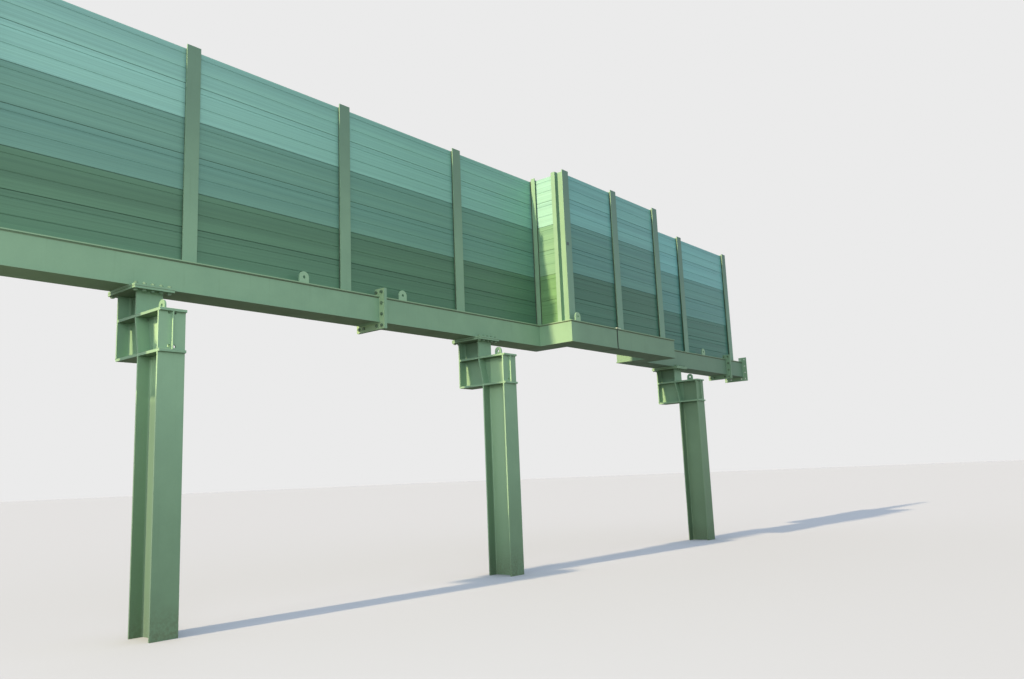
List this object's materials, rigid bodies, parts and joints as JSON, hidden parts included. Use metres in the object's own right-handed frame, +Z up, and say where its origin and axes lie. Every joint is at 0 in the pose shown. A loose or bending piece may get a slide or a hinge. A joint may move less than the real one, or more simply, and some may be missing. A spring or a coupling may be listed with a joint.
{
  "type": "noise barrier section",
  "caption": "Noise barrier section: H columns with rear brackets carry a box girder that steps round a recess, with H posts and ribbed cassettes in shaded bands.",
  "frame": {"origin": "centre of the middle column's foot, at ground level", "axes": "+X along the barrier, +Y away from the road towards the railway, +Z up"},
  "size_m": [17.31, 1.205, 6.79],
  "materials": {
    "green_steel": "semi-gloss green paint",
    "black_rubber": "matt black rubber",
    "light_cassette": "semi-gloss light green powder coat",
    "mid_cassette": "semi-gloss mid green powder coat",
    "dark_cassette": "semi-gloss dark green powder coat"
  },
  "bodies": {
    "root": {"columns": "green_steel", "stubs": "green_steel", "bracket_webs": "green_steel", "head_top_plates": "green_steel", "head_bottom_plates": "green_steel", "head_front_strips": "green_steel", "column_stiffeners": "green_steel", "stub_stiffeners": "green_steel", "front_ribs": "green_steel", "stub_cap_plates": "green_steel", "girder_bearing_plates": "green_steel", "head_slanted_plates": "green_steel", "head_lugs": "green_steel", "girder_lugs": "green_steel", "girder_left": "green_steel", "corner_girder_left": "green_steel", "corner_girder_right": "green_steel", "girder_right": "green_steel", "girder_left_end_plates": "green_steel", "corner_girder_left_end_plate": "green_steel", "corner_girder_right_end_plate": "green_steel", "girder_right_end_plates": "green_steel", "left_run_posts": "green_steel", "jog_posts": "green_steel", "right_run_posts": "green_steel", "corner_channels": "green_steel", "panel_seals": "black_rubber", "left_run_dark_cassettes": "dark_cassette", "left_run_mid_cassettes": "mid_cassette", "left_run_light_cassettes": "light_cassette", "left_return_dark_cassettes": "dark_cassette", "left_return_mid_cassettes": "mid_cassette", "left_return_light_cassettes": "light_cassette", "jog_dark_cassettes": "dark_cassette", "jog_mid_cassettes": "mid_cassette", "jog_light_cassettes": "light_cassette", "right_return_dark_cassettes": "dark_cassette", "right_return_mid_cassettes": "mid_cassette", "right_return_light_cassettes": "light_cassette", "right_run_dark_cassettes": "dark_cassette", "right_run_mid_cassettes": "mid_cassette", "right_run_light_cassettes": "light_cassette"}
  },
  "joints": []
}
